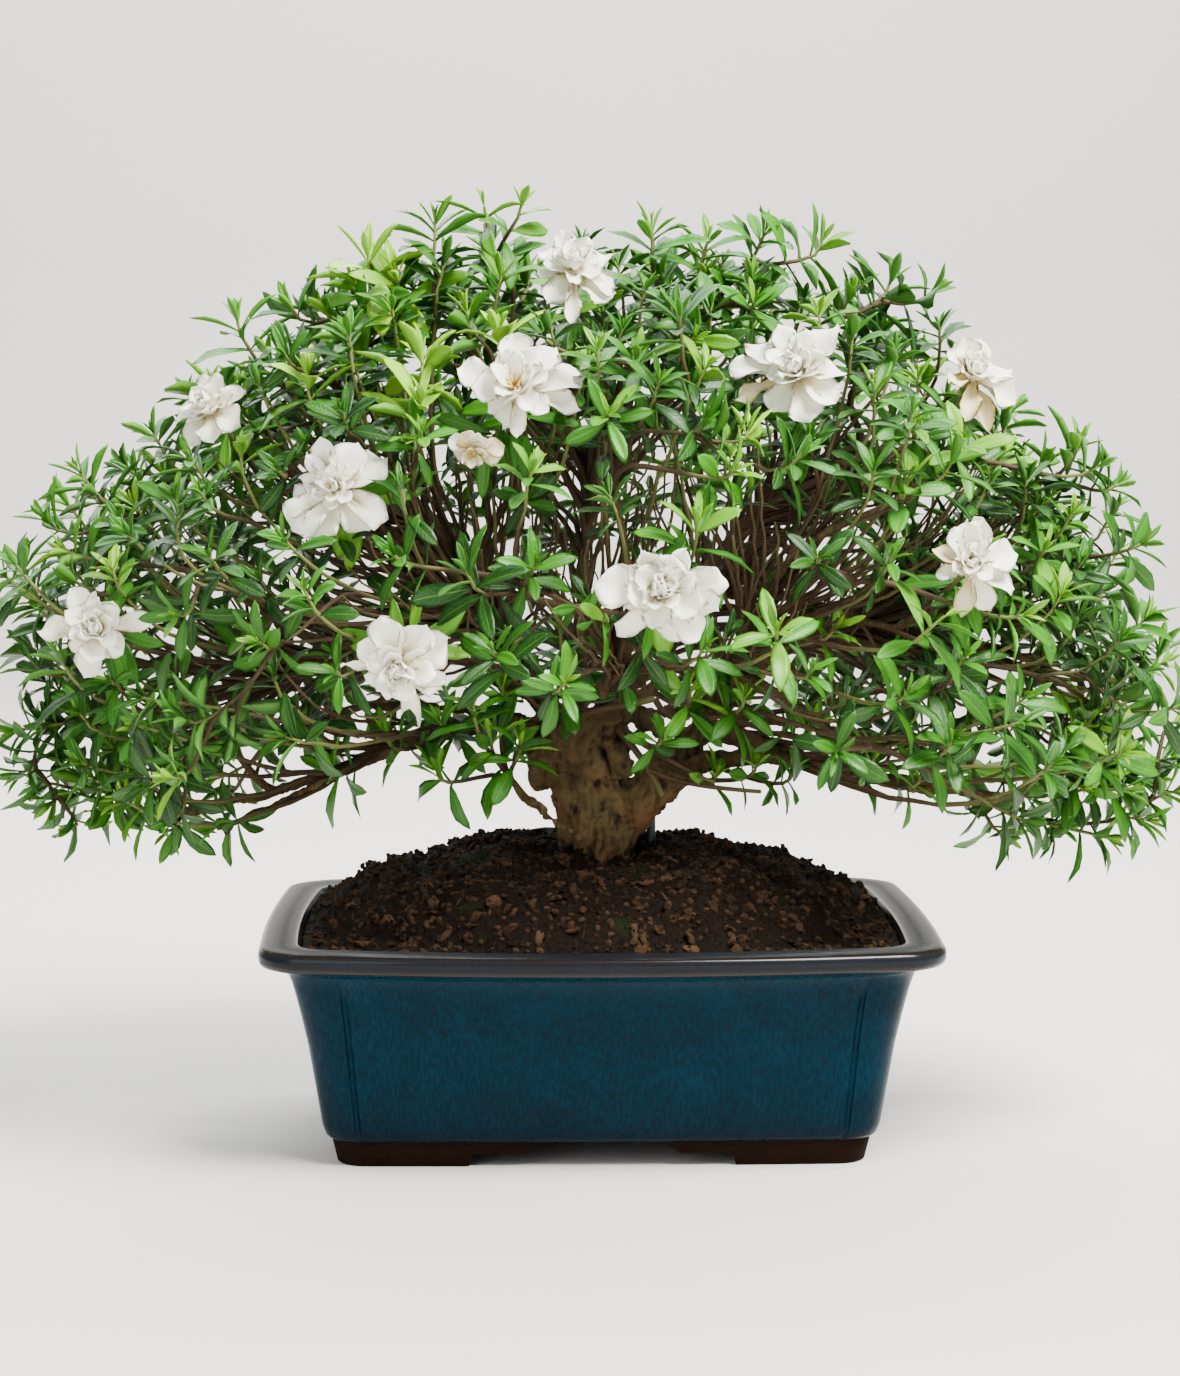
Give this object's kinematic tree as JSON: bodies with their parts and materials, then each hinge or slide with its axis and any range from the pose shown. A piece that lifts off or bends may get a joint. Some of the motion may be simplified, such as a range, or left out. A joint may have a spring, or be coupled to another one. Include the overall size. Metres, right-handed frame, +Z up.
{
  "type": "potted gardenia",
  "caption": "Gardenia trained as a low, wide bonsai with glossy leaves and white double flowers, growing in a rectangular glazed pot with corner feet.",
  "frame": {"origin": "on the table surface, below the middle of the pot and the crown", "axes": "+X to the right along the long side of the pot, +Y to the back, +Z up"},
  "size_m": [0.5964, 0.3868, 0.4586],
  "materials": {
    "glaze": "deep blue glaze, unglazed feet",
    "soil": "moist bark and peat chips, matt",
    "bark": "rough bark",
    "leaf": "glossy leaf",
    "young_leaf": "soft gloss",
    "petal": "matt, velvety",
    "old_petal": "matt, papery",
    "screen": "matt moulded",
    "stake": "satin"
  },
  "bodies": {
    "root": {"pot": "glaze", "drain_screen_left": "screen", "drain_screen_right": "screen", "soil": "soil", "trunk_and_limbs": "bark", "prop_stake": "stake", "bloom_01": "petal", "bloom_02": "petal", "bloom_03": "petal", "bloom_04": "petal", "bloom_05": "petal", "bloom_06": "petal", "bloom_07": "petal", "bloom_08": "petal", "bloom_09": "petal", "bloom_10": "petal", "bloom_wilted": "old_petal", "flowering_spray_01": "young_leaf", "flowering_spray_02": "leaf", "flowering_spray_03": "leaf", "flowering_spray_04": "young_leaf", "flowering_spray_05": "leaf", "flowering_spray_06": "leaf", "flowering_spray_07": "young_leaf", "flowering_spray_08": "leaf", "flowering_spray_09": "leaf", "flowering_spray_10": "young_leaf", "flowering_spray_11": "leaf", "leafy_spray_low": "leaf", "leafy_spray_01": "young_leaf", "leafy_spray_02": "leaf", "leafy_spray_03": "leaf", "leafy_spray_04": "young_leaf", "leafy_spray_05": "leaf", "leafy_spray_06": "leaf", "leafy_spray_07": "young_leaf", "leafy_spray_08": "leaf", "leafy_spray_09": "leaf", "leafy_spray_10": "young_leaf", "leafy_spray_11": "leaf", "leafy_spray_12": "leaf", "leafy_spray_13": "young_leaf", "leafy_spray_14": "leaf", "leafy_spray_15": "leaf", "leafy_spray_16": "young_leaf", "leafy_spray_17": "leaf", "leafy_spray_18": "leaf", "leafy_spray_19": "young_leaf", "leafy_spray_20": "leaf", "leafy_spray_21": "leaf", "leafy_spray_22": "young_leaf", "leafy_spray_23": "leaf", "leafy_spray_24": "leaf"}
  },
  "joints": []
}
